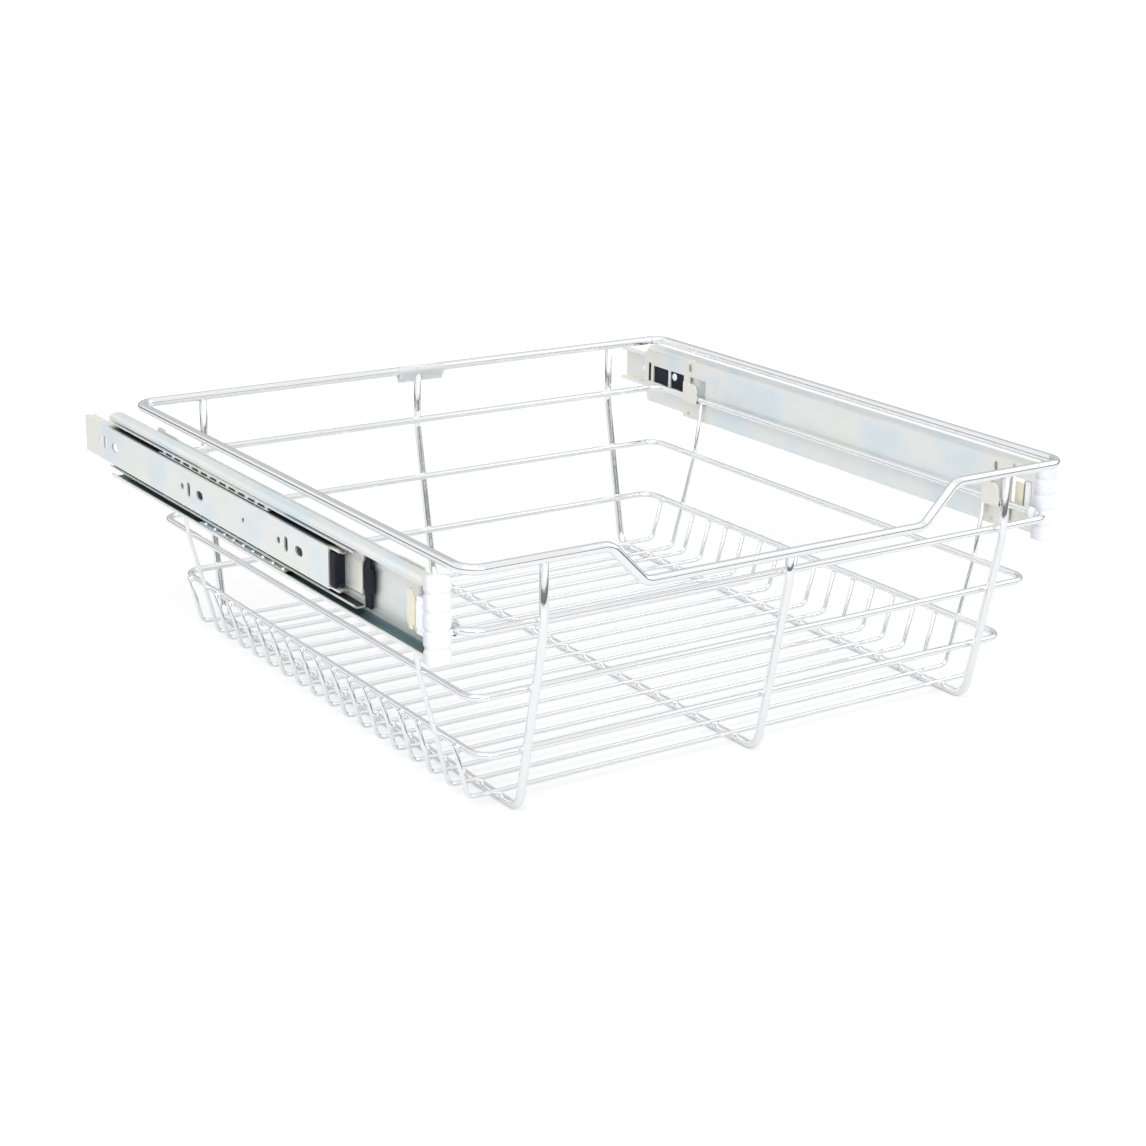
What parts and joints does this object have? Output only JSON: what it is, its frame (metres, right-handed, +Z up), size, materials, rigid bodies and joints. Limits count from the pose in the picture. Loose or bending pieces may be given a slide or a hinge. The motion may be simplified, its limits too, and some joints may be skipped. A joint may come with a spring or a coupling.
{
  "type": "pull-out cabinet basket",
  "caption": "Bright chromed wire basket with a dipped front rim, hung between two full-extension ball slides that screw to the inside of a cabinet.",
  "frame": {"origin": "on the ground under the middle of the whole assembly, at the height of the lowest wire, with the basket drawn 65 mm out", "axes": "+X across the basket towards the right-hand slide, +Y towards the back of the cabinet, +Z up; the basket pulls out towards -Y"},
  "size_m": [0.4886, 0.523, 0.1685],
  "materials": {
    "chrome_wire": "bright chrome plating on welded steel wire",
    "zinc_steel": "rolled steel with a pale blue zinc plating",
    "ball_steel": "bright greased steel",
    "spring_brass": "yellow passivated spring strip",
    "white_plastic": "smooth moulded white plastic",
    "black_plastic": "moulded black plastic"
  },
  "bodies": {
    "wall_rails": {"left_wall_rail": "zinc_steel", "left_wall_bumper": "black_plastic", "right_wall_rail": "zinc_steel", "right_wall_bumper": "black_plastic"},
    "basket": {"rim_wire": "chrome_wire", "upper_ring_wire": "chrome_wire", "middle_ring_wire": "chrome_wire", "lower_ring_wire": "chrome_wire", "left_u_frame": "chrome_wire", "centre_u_frame": "chrome_wire", "right_u_frame": "chrome_wire", "cross_wires_rear": "chrome_wire", "cross_wires_mid_rear": "chrome_wire", "cross_wires_mid_front": "chrome_wire", "cross_wires_front": "chrome_wire", "long_cross_wires": "chrome_wire", "left_carrier_plate": "zinc_steel", "left_channel_rail": "zinc_steel", "left_front_cap": "white_plastic", "left_catch_spring": "spring_brass", "left_catch_block": "white_plastic", "left_rear_stop": "black_plastic", "left_stop_button": "white_plastic", "right_carrier_plate": "zinc_steel", "right_channel_rail": "zinc_steel", "right_front_cap": "white_plastic", "right_catch_spring": "spring_brass", "right_catch_block": "white_plastic", "right_rear_stop": "black_plastic", "right_stop_button": "white_plastic"},
    "left_middle": {"left_middle_rail": "zinc_steel", "left_middle_bumper": "black_plastic"},
    "right_middle": {"right_middle_rail": "zinc_steel", "right_middle_bumper": "black_plastic"},
    "left_inner_train": {"left_inner_cage": "ball_steel", "left_inner_balls": "ball_steel"},
    "left_outer_train": {"left_outer_cage": "ball_steel", "left_outer_balls": "ball_steel"},
    "right_inner_train": {"right_inner_cage": "ball_steel", "right_inner_balls": "ball_steel"},
    "right_outer_train": {"right_outer_cage": "ball_steel", "right_outer_balls": "ball_steel"}
  },
  "joints": [
    {"name": "basket_pull", "type": "slide", "parent": "wall_rails", "child": "basket", "axis": [0, -1, 0], "range_m": [-0.065, 0.335]},
    {"name": "left_middle_slide", "type": "slide", "parent": "wall_rails", "child": "left_middle", "axis": [0, -1, 0], "range_m": [-0.0325, 0.1675]},
    {"name": "right_middle_slide", "type": "slide", "parent": "wall_rails", "child": "right_middle", "axis": [0, -1, 0], "range_m": [-0.0325, 0.1675]},
    {"name": "left_inner_roll", "type": "slide", "parent": "wall_rails", "child": "left_inner_train", "axis": [0, -1, 0], "range_m": [-0.01625, 0.08375]},
    {"name": "right_inner_roll", "type": "slide", "parent": "wall_rails", "child": "right_inner_train", "axis": [0, -1, 0], "range_m": [-0.01625, 0.08375]},
    {"name": "left_outer_roll", "type": "slide", "parent": "wall_rails", "child": "left_outer_train", "axis": [0, -1, 0], "range_m": [-0.04875, 0.25125]},
    {"name": "right_outer_roll", "type": "slide", "parent": "wall_rails", "child": "right_outer_train", "axis": [0, -1, 0], "range_m": [-0.04875, 0.25125]}
  ],
  "couplings": [
    {"joint": "left_middle_slide", "follows": "basket_pull", "ratio": 0.5},
    {"joint": "right_middle_slide", "follows": "basket_pull", "ratio": 0.5},
    {"joint": "left_inner_roll", "follows": "basket_pull", "ratio": 0.25},
    {"joint": "right_inner_roll", "follows": "basket_pull", "ratio": 0.25},
    {"joint": "left_outer_roll", "follows": "basket_pull", "ratio": 0.75},
    {"joint": "right_outer_roll", "follows": "basket_pull", "ratio": 0.75}
  ]
}
